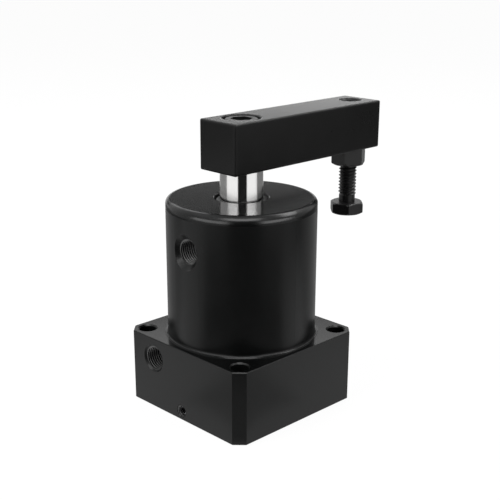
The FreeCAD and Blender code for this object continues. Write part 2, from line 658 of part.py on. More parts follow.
def make_arm():
    """The clamp arm, its cap screw and its dowel pin."""
    arm = new_body("clamp_arm")
    side = "arm_width / 2"
    front = "bolt_reach + arm_nose"
    corners = [(side, "-arm_back"), (side, front), (f"-({side})", front), (f"-({side})", "-arm_back")]
    bar = raised(arm, "bar", outline(arm, "bar_outline", corners, "XY_Plane", {"z": ARM_BOTTOM}),
                 "arm_thickness")
    dress(arm, "bar_edges", "Fillet", bar, "arm_round", lambda edge: True)
    spigot_r = f"({SPIGOT_R} + seat_gap)"
    hole_r = "(screw_d / 2 + screw_hole_gap)"
    well_r = "(screw_head_d / 2 + screw_well_gap)"
    turned(arm, "screw_way", [
        ("0", f"{ARM_BOTTOM} - overrun"), (spigot_r, f"{ARM_BOTTOM} - overrun"),
        (spigot_r, f"{SPIGOT_TOP} + stop_gap"), (hole_r, f"{SPIGOT_TOP} + stop_gap"),
        (hole_r, SCREW_SEAT), (well_r, SCREW_SEAT), (well_r, f"{ARM_TOP} - edge_break"),
        (f"{well_r} + edge_break + overrun", f"{ARM_TOP} + overrun"),
        ("0", f"{ARM_TOP} + overrun")], cut=True)
    bolt_r = "(bolt_d / 2 + thread_gap)"
    mouth = "(bolt_d / 2 + bolt_mouth)"
    turned(arm, "bolt_way", [
        ("0", f"{ARM_BOTTOM} - overrun"), (bolt_r, f"{ARM_BOTTOM} - overrun"),
        (bolt_r, f"{ARM_TOP} - {mouth} + {bolt_r}"), (f"{mouth} + overrun", f"{ARM_TOP} + overrun"),
        ("0", f"{ARM_TOP} + overrun")], cut=True, offset={"z": "-bolt_reach"})
    hole = circles(arm, "dowel_circle_arm", [("0", f"-{DOWEL_R}")], "dowel_d / 2 + seat_gap",
                   offset={"z": f"{ARM_BOTTOM} + dowel_length / 2"})
    sunk(arm, "dowel_hole_arm", hole, "dowel_length / 2 + overrun")
    screw = new_body("arm_screw")
    screw_r = "screw_d / 2"
    head_r = "screw_head_d / 2"
    turned(screw, "cap_screw", [
        ("0", SCREW_TIP), (f"{screw_r} - end_chamfer", SCREW_TIP), (screw_r, f"{SCREW_TIP} + end_chamfer"),
        (screw_r, SCREW_SEAT), (head_r, SCREW_SEAT), (head_r, f"{SCREW_SEAT} + screw_head - end_chamfer"),
        (f"{head_r} - end_chamfer", f"{SCREW_SEAT} + screw_head"), ("0", f"{SCREW_SEAT} + screw_head")])
    socket = hexagon(screw, "socket_hexagon", "screw_socket", f"{SCREW_SEAT} + screw_head")
    sunk(screw, "screw_socket_cut", socket, "screw_socket_depth")
    pin = new_body("arm_dowel_pin")
    section = circles(pin, "dowel_section", [("0", f"-{DOWEL_R}")], "dowel_d / 2",
                      offset={"z": f"{ARM_BOTTOM} - dowel_length / 2 + stop_gap"})
    raised(pin, "dowel", section, "dowel_length - 2 * stop_gap")


def make_contact_bolt():
    """The contact bolt under the arm's end, and the nut that locks it."""
    bolt = new_body("contact_bolt")
    low = f"({BOLT_HEAD_TOP} - bolt_head)"
    head = hexagon(bolt, "head_hexagon", "bolt_across", low, "bolt_turn", "bolt_reach")
    raised(bolt, "bolt_head_block", head, "bolt_head")
    thread_r = "bolt_d / 2"
    neck_r = f"({thread_r} - bolt_neck_step)"
    tip = f"({BOLT_HEAD_TOP} + bolt_length)"
    turned(bolt, "bolt_shank", [
        ("0", f"{BOLT_HEAD_TOP} - overrun"), (neck_r, f"{BOLT_HEAD_TOP} - overrun"),
        (neck_r, f"{BOLT_HEAD_TOP} + bolt_neck"),
        (thread_r, f"{BOLT_HEAD_TOP} + bolt_neck + bolt_neck_step"),
        (thread_r, f"{tip} - end_chamfer"), (f"{thread_r} - end_chamfer", tip), ("0", tip)],
        offset={"z": "-bolt_reach"})
    break_hexagon(bolt, "head_cone", "bolt_across", low, BOLT_HEAD_TOP, top=False, centre_y="bolt_reach")
    hex_nut("lock_nut", "bolt_across", "lock_nut_height", f"{thread_r} + thread_gap",
            LOCK_NUT_BOTTOM, "lock_nut_turn", "bolt_reach")


SUB_PARTS = (
    "clamp_body", "rod_guide_bush", "rod_seal", "wiper_ring", "bottom_cover", "cover_o_ring",
    "cover_lock_screw", "guide_post", "guide_post_pin", "guide_post_o_ring", "guide_post_nut",
    "piston_seal", "piston_seal_energiser", "piston_wear_ring_low", "piston_wear_ring_high",
    "piston_rod", "piston", "piston_o_ring", "piston_nut", "guide_balls", "clamp_arm", "arm_screw",
    "arm_dowel_pin", "lock_nut", "contact_bolt",
)

make_body()
make_gland()
make_cover()
make_guide_post()
make_rod()
make_balls()
make_piston()
make_arm()
make_contact_bolt()
doc.recompute()

broken = [item.Name for item in doc.Objects if {"Invalid", "Error"} & set(item.State)]
if broken:
    raise ValueError(f"objects that failed: {broken}")
shapes = {name: doc.getObjectsByLabel(name)[0].Shape for name in SUB_PARTS}
for name, shape in shapes.items():
    if shape.isNull() or not shape.isValid() or not shape.Solids:
        raise ValueError(f"{name} has no valid solid")
os.makedirs("parts", exist_ok=True)
for name, shape in shapes.items():
    shape.exportStep(f"parts/{name}.step")
    print(f"{name}: {len(shape.Solids)} solid, {shape.Volume:.1f} mm3")
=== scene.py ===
"""Looks of the swing clamp cylinder: finishes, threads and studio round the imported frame, in metres."""
import bmesh
import bpy
import json
import math
from mathutils import Matrix, Vector


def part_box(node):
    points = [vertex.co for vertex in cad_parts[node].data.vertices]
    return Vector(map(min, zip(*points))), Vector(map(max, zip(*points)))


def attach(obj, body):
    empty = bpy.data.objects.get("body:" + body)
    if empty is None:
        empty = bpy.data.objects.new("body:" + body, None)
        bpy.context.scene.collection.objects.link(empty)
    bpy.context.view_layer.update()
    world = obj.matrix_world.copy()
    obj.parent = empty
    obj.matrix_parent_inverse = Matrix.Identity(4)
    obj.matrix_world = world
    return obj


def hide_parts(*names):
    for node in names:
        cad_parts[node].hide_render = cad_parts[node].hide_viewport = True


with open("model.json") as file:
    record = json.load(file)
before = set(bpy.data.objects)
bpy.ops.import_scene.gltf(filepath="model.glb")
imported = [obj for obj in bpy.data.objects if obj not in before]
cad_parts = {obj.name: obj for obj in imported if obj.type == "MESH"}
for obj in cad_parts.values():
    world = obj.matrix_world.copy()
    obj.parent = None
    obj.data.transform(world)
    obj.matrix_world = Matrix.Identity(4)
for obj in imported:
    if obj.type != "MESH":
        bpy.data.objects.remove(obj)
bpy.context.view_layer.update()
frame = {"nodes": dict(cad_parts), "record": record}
NODES = frame["nodes"]
MM = 0.001

# Where the photograph was taken from, and how its frame is cut.
VIEW_AZIMUTH = 46.05
VIEW_ELEVATION = 18.51
VIEW_DISTANCE = 0.5105
VIEW_TARGET = Vector((0, 0, 0.0704))
FOCAL_PIXELS = 987.22
FRAME_PIXELS = 500
SENSOR_WIDTH = 36
AXIS_PIXEL = (241.5, 271.03)

# Heights of the level faces.
BASE_TOP = 38.5 * MM
BARREL_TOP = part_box("clamp_body")[1].z
ARM_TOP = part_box("clamp_arm")[1].z

# Points of a mesh that lie closer than this become one.
MERGE = 1e-7
# A thread's flat crest and root, as a share of its pitch.
FLAT_SHARE = 0.12

# The contact bolt and the lock nut: lengths, radii, and turns and chamfers in degrees.
HEX_FLATS = 17 * MM
HEX_CHAMFER = 30
HEX_MARGIN = 0.15 * MM
HEX_LEVELS = 16
BOLT_PITCH = 1.85 * MM
BOLT_CREST = 4.9 * MM
BOLT_ROOT = 4.15 * MM
BOLT_TIP = 4.0 * MM
BOLT_HEAD = 6.4 * MM
BOLT_NECK = 3.6 * MM
BOLT_NECK_RADIUS = 4.5 * MM
BOLT_NECK_TIP = 3.9 * MM
BOLT_TURN = 18
NUT_BORE = 5.06 * MM
NUT_TURN = -1

# The shoulder round the barrel's foot: radii, height over the base and depth in it.
COLLAR_INNER = 38.7 * MM
COLLAR_TOP = 39.8 * MM
COLLAR_FOOT = 39.98 * MM
COLLAR_RISE = 0.15 * MM
COLLAR_SUNK = 0.02 * MM

# Finishes: scales of the mottle and the grain, and the black roots of the body's threads with the painted
# highlight on their crests.
MOTTLE_SCALE = 60
GRAIN_SCALE = 900
GRAIN_HEIGHT = 0.2 * MM
THREAD_BLACK = 0.004
CREST_HIGHLIGHT_STEEL = 0.17
CREST_HIGHLIGHT_SHARE = 0.45

# Threads in the body. Each row: name, x and z of the axis, outer and inner end along y, wall, depth, pitch.
WALL_GAP = 0.01 * MM
ROOT_INSET = 0.05 * MM
PORT_SIZES = (6.5785 * MM, 0.80 * MM, 1.337 * MM)
LOCK_SIZES = (3.05 * MM, 0.5 * MM, 1.0 * MM)
PORT_THREADS = (
    ("lift_port_thread", -21.5 * MM, 27.5 * MM, -41.55 * MM, -30.6 * MM, *PORT_SIZES),
    ("clamp_port_thread", 0, 88.5 * MM, -35.85 * MM, -26.6 * MM, *PORT_SIZES),
    ("lock_hole_thread", 0, 5 * MM, -42.3 * MM, -41.05 * MM, *LOCK_SIZES),
)

# The wiper ring's lip and the knurl on the head of the arm's screw.
WIPER_BORE = 11.08 * MM
KNURL_TEETH = 72
KNURL_RADIUS = 9.15 * MM
KNURL_INNER = 8.9 * MM
KNURL_VALLEY = 0.98

# Studio cards, seen only in reflections. Angles are counted from the camera, in degrees.
CARD_STEPS = 24
LEVEL_CARD_STEPS = 48
OVER_FLOOR = 0.6 * MM
OVERHEAD = 0.75
# Upright: name, start, end, distance, low and high edge, level of light.
CARDS = (
    ("front_flag", -18, 27, 0.42, 0, 0.5, 0.012),
    ("left_card", -75, -21, 0.42, 0, 0.22, 1.15),
    ("right_card", 30, 78, 0.42, 0, 0.22, 1.15),
    ("left_box", -80, -21, 0.42, 0.31, 0.46, 7),
    ("right_box", 32, 84, 0.42, 0.31, 0.46, 8),
    ("left_far", -150, -82, 0.6, 0, 0.2, 0.25),
    ("right_far", 92, 150, 0.6, 0, 0.3, 0.2),
    ("backdrop_low", 155, 205, 3.0, 0, 0.66, 1.45),
    ("backdrop_gap", 150, 210, 2.99, 0.66, 1.2, 0.0),
    ("backdrop_high", 155, 205, 3.0, 1.2, 3.0, 1.7),
)
# Level: name, start, end, inner and outer radius, height, level of light.
LEVEL_CARDS = (
    ("side_floor", 97, 263, 0.10, 0.62, OVER_FLOOR, 0.45),
    ("front_floor", -54, 58, 0.13, 0.75, OVER_FLOOR, 0.12),
    ("corner_floor", -60, 60, 0.06, 0.13, OVER_FLOOR, 0.6),
    ("right_floor", 58, 97, 0.30, 0.75, OVER_FLOOR, 0.02),
    ("ceiling", -75, 75, 0.09, 0.24, OVERHEAD, 9),
    ("front_box", -42, 42, 0.24, 0.40, OVERHEAD, 9),
    ("left_top_box", -140, -60, 0.24, 0.5, OVERHEAD, 1.5),
    ("right_top_box", 100, 150, 0.40, 0.62, OVERHEAD, 9),
)
# Lamps: name, turn from the camera and rise in degrees, distance, size, power in watts.
LAMPS = (
    ("key", -60, 45, 1.2, (0.6, 0.6), 9),
    ("fill", 65, 30, 1.3, (0.6, 0.9), 5),
    ("back", 170, 55, 1.3, (0.8, 0.3), 6),
)
# The floor's size and drop below the base, its paint and glow, and the world's level for diffuse light.
FLOOR_RADIUS = 12
FLOOR_DROP = 0.2 * MM
FLOOR_WHITE = 0.92
FLOOR_GLOW = 1.04
FLOOR_GLOW_SHARE = 0.92
WORLD_LIGHT = 0.2


def new_object(name, bm, material):
    """Turns a bmesh into an object of one material in the scene."""
    mesh = bpy.data.meshes.new(name)
    bm.to_mesh(mesh)
    bm.free()
    mesh.materials.append(material)
    thing = bpy.data.objects.new(name, mesh)
    bpy.context.scene.collection.objects.link(thing)
    return thing


def new_piece(name, bm, material, body, smooth_angle=35):
    """Turns a bmesh into a piece of the object that rides on a body."""
    bmesh.ops.remove_doubles(bm, verts=bm.verts, dist=MERGE)
    bmesh.ops.recalc_face_normals(bm, faces=bm.faces)
    for face in bm.faces:
        face.smooth = True
    for edge in bm.edges:
        if len(edge.link_faces) == 2:
            edge.smooth = edge.calc_face_angle() < math.radians(smooth_angle)
    piece = new_object(name, bm, material)
    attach(piece, body)
    return piece


def profile(bm, points):
    """A chain of edges through points of radius and height, in the plane of x and z."""
    verts = [bm.verts.new((radius, 0, height)) for radius, height in points]
    edges = [bm.edges.new(pair) for pair in zip(verts, verts[1:])]
    return verts + edges


def revolve(bm, points, steps=96):
    """Turns a chain of radius and height once about the z axis."""
    bmesh.ops.spin(bm, geom=profile(bm, points), cent=(0, 0, 0), axis=(0, 0, 1),
                   angle=math.tau, steps=steps, use_merge=True)


def wind_thread(bm, root, crest, pitch, low, high, steps=60):
    """A thread's skin about the z axis from low to high: one pitch of its section, wound as a screw."""
    turns = math.ceil((high - low) / pitch) + 2
    start = low - pitch
    flat, flank, merge = pitch * FLAT_SHARE, pitch / 2, pitch / 500
    points = [(root, start), (root, start + flat), (crest, start + flank - flat / 2),
              (crest, start + flank + flat / 2), (root, start + pitch - flat), (root, start + pitch)]
    bmesh.ops.spin(bm, geom=profile(bm, points), cent=(0, 0, 0), axis=(0, 0, 1), dvec=(0, 0, pitch / steps),
                   angle=math.tau * turns, steps=steps * turns)
    bmesh.ops.remove_doubles(bm, verts=bm.verts, dist=merge)
    for level, keep_above in ((low, True), (high, False)):
        bmesh.ops.bisect_plane(bm, geom=bm.verts[:] + bm.edges[:] + bm.faces[:], plane_co=(0, 0, level),
                               plane_no=(0, 0, 1), clear_inner=keep_above, clear_outer=not keep_above)
    bmesh.ops.remove_doubles(bm, verts=bm.verts, dist=merge)


def set_radius(vert, radius):
    """Moves a vertex to a radius about the z axis."""
    scale = radius / math.hypot(vert.co.x, vert.co.y)
    vert.co.x *= scale
    vert.co.y *= scale


def limit_radius(bm, limit):
    """Turns every vertex down to the radius that limit gives at its height."""
    for vert in bm.verts:
        most = limit(vert.co.z)
        if math.hypot(vert.co.x, vert.co.y) > most > 0:
            set_radius(vert, most)


def turn_about(bm, degrees, axis):
    """Turns a whole bmesh about an axis through the origin."""
    turn = Matrix.Rotation(math.radians(degrees), 3, axis)
    bmesh.ops.rotate(bm, verts=bm.verts, cent=(0, 0, 0), matrix=turn)


def hexagon(bm, bore, flats, low, high, turn, low_chamfer, high_chamfer):
    """A hexagon about the z axis, with a bore or none, its corners turned off at one or both ends."""
    reach = flats / 2 / math.cos(math.radians(30))
    heights = [low + (high - low) * n / HEX_LEVELS for n in range(HEX_LEVELS + 1)]
    end = [(bore, high), (bore, low)] if bore else [(0, high)]
    revolve(bm, [(bore, low)] + [(reach, height) for height in heights] + end)
    verts = [vert for vert in bm.verts if math.hypot(vert.co.x, vert.co.y) > bore + 0.1 * MM]
    for vert in verts:
        side = math.atan2(vert.co.y, vert.co.x) % math.radians(60) - math.radians(30)
        radius = flats / 2 / math.cos(side)
        for chamfer, depth in ((low_chamfer, vert.co.z - low), (high_chamfer, high - vert.co.z)):
            if chamfer:
                radius = min(radius, flats / 2 - HEX_MARGIN + depth / math.tan(math.radians(chamfer)))
        set_radius(vert, radius)
    turn_about(bm, turn, "Z")


def join(bm, part):
    """Adds one bmesh to another and frees it."""
    mesh = bpy.data.meshes.new("part")
    part.to_mesh(mesh)
    part.free()
    bm.from_mesh(mesh)
    bpy.data.meshes.remove(mesh)


def open_edges(bm):
    """The edges that only one face uses."""
    return [edge for edge in bm.edges if edge.is_boundary]


def fill_ends(bm):
    """Closes every hole with a face."""
    bmesh.ops.holes_fill(bm, edges=open_edges(bm), sides=0)


def make_finish(name, colour, roughness, metallic=0.0, grain_depth=0.02, contrast=0.12,
                rough_spread=0.06, specular=0.5):
    """A finish with a mottled colour and sheen and a fine grain."""
    material = bpy.data.materials.new(name)
    material.use_nodes = True
    tree = material.node_tree
    shader = tree.nodes["Principled BSDF"]
    shader.inputs["Metallic"].default_value = metallic
    shader.inputs["Specular IOR Level"].default_value = specular
    place = tree.nodes.new("ShaderNodeTexCoord")
    cloud = tree.nodes.new("ShaderNodeTexNoise")
    cloud.inputs["Scale"].default_value = MOTTLE_SCALE
    cloud.inputs["Detail"].default_value = 5
    tree.links.new(place.outputs["Object"], cloud.inputs["Vector"])
    shade = tree.nodes.new("ShaderNodeMix")
    shade.data_type = "RGBA"
    shade.inputs["A"].default_value = (*[c * (1 - contrast) for c in colour], 1)
    shade.inputs["B"].default_value = (*[c * (1 + contrast) for c in colour], 1)
    tree.links.new(cloud.outputs["Fac"], shade.inputs["Factor"])
    tree.links.new(shade.outputs["Result"], shader.inputs["Base Color"])
    sheen = tree.nodes.new("ShaderNodeMapRange")
    sheen.inputs["To Min"].default_value = roughness - rough_spread
    sheen.inputs["To Max"].default_value = roughness + rough_spread
    tree.links.new(cloud.outputs["Fac"], sheen.inputs["Value"])
    tree.links.new(sheen.outputs["Result"], shader.inputs["Roughness"])
    if grain_depth:
        fine = tree.nodes.new("ShaderNodeTexNoise")
        fine.inputs["Scale"].default_value = GRAIN_SCALE
        fine.inputs["Detail"].default_value = 3
        tree.links.new(place.outputs["Object"], fine.inputs["Vector"])
        bump = tree.nodes.new("ShaderNodeBump")
        bump.inputs["Strength"].default_value = grain_depth
        bump.inputs["Distance"].default_value = GRAIN_HEIGHT
        tree.links.new(fine.outputs["Fac"], bump.inputs["Height"])
        tree.links.new(bump.outputs["Normal"], shader.inputs["Normal"])
    return material


BODY_BLACK = make_finish("body_black", (0.0035, 0.0038, 0.0038), 0.31, grain_depth=0.02, specular=0.2)
ARM_BLACK = make_finish("arm_black", (0.003, 0.003, 0.003), 0.29, grain_depth=0.02, specular=0.2)
FASTENER_BLACK = make_finish("fastener_black", (0.005, 0.005, 0.005), 0.33, grain_depth=0.04, specular=0.42)
COVER_BLACK = make_finish("cover_black", (0.014, 0.014, 0.014), 0.4, grain_depth=0.05)
ROD_CHROME = make_finish("rod_chrome", (0.74, 0.735, 0.73), 0.07, metallic=1.0, grain_depth=0.0,
                         contrast=0.03, rough_spread=0.02)
MACHINED_STEEL = make_finish("machined_steel", (0.42, 0.42, 0.42), 0.32, metallic=1.0, grain_depth=0.1)
HARDENED_STEEL = make_finish("hardened_steel", (0.36, 0.36, 0.37), 0.22, metallic=1.0, grain_depth=0.04)
BALL_STEEL = make_finish("ball_steel", (0.7, 0.7, 0.71), 0.06, metallic=1.0, grain_depth=0.0)
ZINC_STEEL = make_finish("zinc_steel", (0.16, 0.16, 0.165), 0.32, metallic=1.0, grain_depth=0.08)
BUSH_BRONZE = make_finish("bush_bronze", (0.45, 0.27, 0.12), 0.35, metallic=1.0, grain_depth=0.08)
SEAL_RUBBER = make_finish("seal_rubber", (0.018, 0.018, 0.018), 0.55, grain_depth=0.1)
WIPER_GREY = make_finish("wiper_grey", (0.028, 0.029, 0.029), 0.5, grain_depth=0.08, specular=0.3)
PTFE_BRONZE = make_finish("ptfe_bronze", (0.2, 0.11, 0.05), 0.5, grain_depth=0.15)
WEAR_TAPE = make_finish("wear_tape", (0.16, 0.1, 0.05), 0.6, grain_depth=0.2)

# By slot, not by the material's own name: the frame has materials of these names, so Blender numbers ours.
FINISHES = {
    "body_black": BODY_BLACK, "arm_black": ARM_BLACK, "fastener_black": FASTENER_BLACK,
    "cover_black": COVER_BLACK, "rod_chrome": ROD_CHROME, "machined_steel": MACHINED_STEEL,
    "hardened_steel": HARDENED_STEEL, "ball_steel": BALL_STEEL, "zinc_steel": ZINC_STEEL,
    "bush_bronze": BUSH_BRONZE, "seal_rubber": SEAL_RUBBER, "wiper_grey": WIPER_GREY,
    "ptfe_bronze": PTFE_BRONZE, "wear_tape": WEAR_TAPE,
}


def height_of(tree):
    """The node that gives a point's height in its own object."""
    split = tree.nodes.new("ShaderNodeSeparateXYZ")
    tree.links.new(tree.nodes["Texture Coordinate"].outputs["Object"], split.inputs["Vector"])
    return split.outputs["Z"]


def smooth_faces(material, bands):
    """Gives the faces within these bands, each a height, its reach and a roughness, their own finish."""
    tree = material.node_tree
    shader = tree.nodes["Principled BSDF"]
    height = height_of(tree)
    rough = tree.nodes["Map Range"].outputs["Result"]
    for level, reach, roughness in bands:
        here = tree.nodes.new("ShaderNodeMath")
        here.operation = "COMPARE"
        here.inputs[1].default_value = level
        here.inputs[2].default_value = reach
        tree.links.new(height, here.inputs[0])
        blend = tree.nodes.new("ShaderNodeMix")
        blend.inputs["B"].default_value = roughness
        tree.links.new(here.outputs["Value"], blend.inputs["Factor"])
        tree.links.new(rough, blend.inputs["A"])
        rough = blend.outputs["Result"]
    tree.links.new(rough, shader.inputs["Roughness"])


def soften_rim(material, low, high, drop):
    """Eases the light round a top rim over more height than its fillet has."""
    tree = material.node_tree
    ease = tree.nodes.new("ShaderNodeMapRange")
    ease.interpolation_type = "SMOOTHSTEP"
    for socket, value in (("From Min", low), ("From Max", high), ("To Min", 0), ("To Max", -drop)):
        ease.inputs[socket].default_value = value
    tree.links.new(height_of(tree), ease.inputs["Value"])
    slope = tree.nodes.new("ShaderNodeBump")
    slope.inputs["Distance"].default_value = 1
    tree.links.new(ease.outputs["Result"], slope.inputs["Height"])
    tree.links.new(slope.outputs["Normal"], tree.nodes["Bump"].inputs["Normal"])


def round_edges(material, radius):
    """Lets the light run softly over the edges."""
    tree = material.node_tree
    edge = tree.nodes.new("ShaderNodeBevel")
    edge.inputs["Radius"].default_value = radius
    tree.links.new(edge.outputs["Normal"], tree.nodes["Bump"].inputs["Normal"])


def brush_round(material, amount, roughness, lift):
    """Draws a turned surface's reflections out along its axis and leans them up, as its feed marks do."""
    tree = material.node_tree
    shader = tree.nodes["Principled BSDF"]
    around = tree.nodes.new("ShaderNodeTangent")
    around.direction_type = "RADIAL"
    around.axis = "Z"
    tree.links.new(around.outputs["Tangent"], shader.inputs["Tangent"])
    shader.inputs["Anisotropic"].default_value = amount
    shader.inputs["Anisotropic Rotation"].default_value = 0.25
    rake = tree.nodes.new("ShaderNodeMath")
    rake.operation = "MULTIPLY"
    rake.inputs[1].default_value = -lift
    lean = tree.nodes.new("ShaderNodeBump")
    lean.inputs["Distance"].default_value = 1
    tree.links.new(height_of(tree), rake.inputs[0])
    tree.links.new(rake.outputs["Value"], lean.inputs["Height"])
    tree.links.new(lean.outputs["Normal"], shader.inputs["Normal"])
    sheen = tree.nodes["Map Range"]
    sheen.inputs["To Min"].default_value = roughness * 0.9
    sheen.inputs["To Max"].default_value = roughness * 1.1


def finish_nodes():
    """Gives every node the finish of its slot in the record."""
    for row in frame["record"]["subparts"]:
        node = NODES[row["node"]]
        node.data.materials.clear()
        node.data.materials.append(FINISHES[row["material_slot"]])


def make_contact_bolt():
    """The contact bolt: hexagon head with a turned underside, plain neck and thread."""
    low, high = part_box("contact_bolt")
    centre = Vector(((low.x + high.x) / 2, (low.y + high.y) / 2, 0))
    head_top = low.z + BOLT_HEAD
    thread_low = head_top + BOLT_NECK
    bm = bmesh.new()
    wind_thread(bm, BOLT_ROOT, BOLT_CREST, BOLT_PITCH, thread_low, high.z)
    limit_radius(bm, lambda z: min(BOLT_CREST, high.z - z + BOLT_TIP, z - thread_low + BOLT_ROOT))
    fill_ends(bm)
    neck = bmesh.new()
    revolve(neck, [(BOLT_NECK_RADIUS, head_top - 0.5 * MM), (BOLT_NECK_RADIUS, thread_low + 0.1 * MM),
                   (BOLT_NECK_TIP, thread_low + 0.9 * MM)], steps=48)
    fill_ends(neck)
    join(bm, neck)
    head = bmesh.new()
    hexagon(head, 0, HEX_FLATS, low.z, head_top, BOLT_TURN, HEX_CHAMFER, HEX_CHAMFER)
    join(bm, head)
    bmesh.ops.translate(bm, verts=bm.verts, vec=centre)
    bolt = new_piece("contact_bolt_threaded", bm, FASTENER_BLACK, "adjuster",
                     smooth_angle=25)
    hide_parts("contact_bolt")


def make_lock_nut():
    """The lock nut, its corners turned off below."""
    low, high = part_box("lock_nut")
    bm = bmesh.new()
    hexagon(bm, NUT_BORE, HEX_FLATS, low.z, high.z, NUT_TURN, HEX_CHAMFER, 0)
    bmesh.ops.translate(bm, verts=bm.verts, vec=((low.x + high.x) / 2, (low.y + high.y) / 2, 0))
    nut = new_piece("lock_nut_turned", bm, FASTENER_BLACK, "rod_and_arm",
                    smooth_angle=25)
    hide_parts("lock_nut")


def make_foot_collar():
    """The fine shoulder that the turning tool left round the barrel's foot."""
    top, foot = BASE_TOP + COLLAR_RISE, BASE_TOP - COLLAR_SUNK
    bm = bmesh.new()
    revolve(bm, [(COLLAR_INNER, top), (COLLAR_TOP, top), (COLLAR_FOOT, foot), (COLLAR_INNER, foot),
                 (COLLAR_INNER, top)], steps=160)
    new_piece("barrel_foot_collar", bm, BODY_BLACK, "cylinder")


def make_thread_finish(name, x, z, crest, root):
    """Black roots and crests painted lighter as a highlight, told apart by the distance from the thread's
    axis.
    """
    material = make_finish(name, (THREAD_BLACK, THREAD_BLACK, THREAD_BLACK), 0.28, grain_depth=0.0)
    tree = material.node_tree
    shader = tree.nodes["Principled BSDF"]
    across = tree.nodes.new("ShaderNodeVectorMath")
    across.operation = "MULTIPLY_ADD"
    across.inputs[1].default_value = (1, 0, 1)
    across.inputs[2].default_value = (-x, 0, -z)
    tree.links.new(tree.nodes["Texture Coordinate"].outputs["Object"], across.inputs[0])
    radius = tree.nodes.new("ShaderNodeVectorMath")
    radius.operation = "LENGTH"
    tree.links.new(across.outputs["Vector"], radius.inputs[0])
    # Painted highlight: the crests turn metallic and lighter, fading out towards the roots over a share of
    # the depth.
    crest_highlight = tree.nodes.new("ShaderNodeMapRange")
    for socket, value in (("From Min", crest), ("From Max", crest + (root - crest) * CREST_HIGHLIGHT_SHARE),
                          ("To Min", 1), ("To Max", 0)):
        crest_highlight.inputs[socket].default_value = value
    tree.links.new(radius.outputs["Value"], crest_highlight.inputs["Value"])
    tree.links.new(crest_highlight.outputs["Result"], shader.inputs["Metallic"])
    colour = tree.nodes.new("ShaderNodeMix")
    colour.data_type = "RGBA"
    colour.inputs["B"].default_value = (CREST_HIGHLIGHT_STEEL, CREST_HIGHLIGHT_STEEL, CREST_HIGHLIGHT_STEEL, 1)
    tree.links.new(crest_highlight.outputs["Result"], colour.inputs["Factor"])
    tree.links.new(tree.nodes["Mix"].outputs["Result"], colour.inputs["A"])
    tree.links.new(colour.outputs["Result"], shader.inputs["Base Color"])
    return material


def make_port_thread(name, x, z, outer, inner, wall, depth, pitch):
    """The thread in a port's wall, from outer to inner along y: ridges on a thin sleeve."""
    bm = bmesh.new()
    wall -= WALL_GAP
    wind_thread(bm, wall - ROOT_INSET, wall - depth, pitch, outer, inner)
    grown = bmesh.ops.extrude_edge_only(bm, edges=open_edges(bm))["geom"]
    for vert in (item for item in grown if isinstance(item, bmesh.types.BMVert)):
        set_radius(vert, wall)
    bmesh.ops.bridge_loops(bm, edges=open_edges(bm))
    # The screw runs along z; the port looks along -y.
    turn_about(bm, -90, "X")
    bmesh.ops.translate(bm, verts=bm.verts, vec=(x, 0, z))
    finish = make_thread_finish(name, x, z, wall - depth, wall)
    new_piece(name, bm, finish, "cylinder", smooth_angle=30)


def make_wiper():
    """The wiper ring: a heel low in its recess and a lip that leans on the rod."""
    low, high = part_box("wiper_ring")
    outer, inner, top = high.x, WIPER_BORE, high.z
    heel = inner + 0.5 * MM
    bm = bmesh.new()
    revolve(bm, [(heel, low.z), (outer, low.z), (outer, low.z + 0.6 * MM), (12.9 * MM, low.z + 0.5 * MM),
                 (12.75 * MM, top - 0.9 * MM), (12.4 * MM, top - 0.7 * MM),
                 (inner + 0.3 * MM, top - 0.7 * MM), (inner, top - 1.0 * MM), (inner, top - 1.4 * MM),
                 (heel, low.z)])
    wiper = new_piece("wiper_ring_lip", bm, WIPER_GREY, "cylinder")
    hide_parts("wiper_ring")


def make_screw_knurl():
    """The knurl round the head of the arm's cap screw."""
    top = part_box("arm_screw")[1].z
    bm = bmesh.new()
    revolve(bm, [(KNURL_INNER, top - 1.4 * MM), (KNURL_RADIUS, top - 1.6 * MM),
                 (KNURL_RADIUS, top - 11 * MM), (KNURL_INNER, top - 11.2 * MM)], steps=KNURL_TEETH * 2)
    for vert in bm.verts:
        turn = math.atan2(vert.co.y, vert.co.x) / math.tau * KNURL_TEETH
        if round(turn * 2) % 2:
            vert.co.x *= KNURL_VALLEY
            vert.co.y *= KNURL_VALLEY
    bmesh.ops.bridge_loops(bm, edges=open_edges(bm))
    new_piece("arm_screw_knurl", bm, FASTENER_BLACK, "rod_and_arm", smooth_angle=20)


def blank_material(name):
    """A material with an empty node tree."""
    material = bpy.data.materials.new(name)
    material.use_nodes = True
    material.node_tree.nodes.clear()
    return material


def sweep_card(name, start, end, ends, steps, level):
    """A glowing card: the line between two ends, each a distance and a height, swept about the object."""
    bm = bmesh.new()
    verts = [bm.verts.new((0, -distance, height)) for distance, height in ends]
    edge = bm.edges.new(verts)
    turn_about(bm, VIEW_AZIMUTH + start, "Z")
    bmesh.ops.spin(bm, geom=verts + [edge], cent=(0, 0, 0), axis=(0, 0, 1),
                   angle=math.radians(end - start), steps=steps)
    material = blank_material(name)
    tree = material.node_tree
    glow = tree.nodes.new("ShaderNodeEmission")
    glow.inputs["Color"].default_value = (level, level, level, 1)
    out = tree.nodes.new("ShaderNodeOutputMaterial")
    tree.links.new(glow.outputs["Emission"], out.inputs["Surface"])
    card = new_object(name, bm, material)
    for ray in ("camera", "diffuse", "shadow", "transmission", "volume_scatter"):
        setattr(card, f"visible_{ray}", False)


def make_cards():
    """The studio's upright cards and those that lie level."""
    for name, start, end, distance, low, high, level in CARDS:
        sweep_card(name, start, end, ((distance, low), (distance, high)), CARD_STEPS, level)
    for name, start, end, inner, outer, height, level in LEVEL_CARDS:
        sweep_card(name, start, end, ((inner, height), (outer, height)), LEVEL_CARD_STEPS, level)


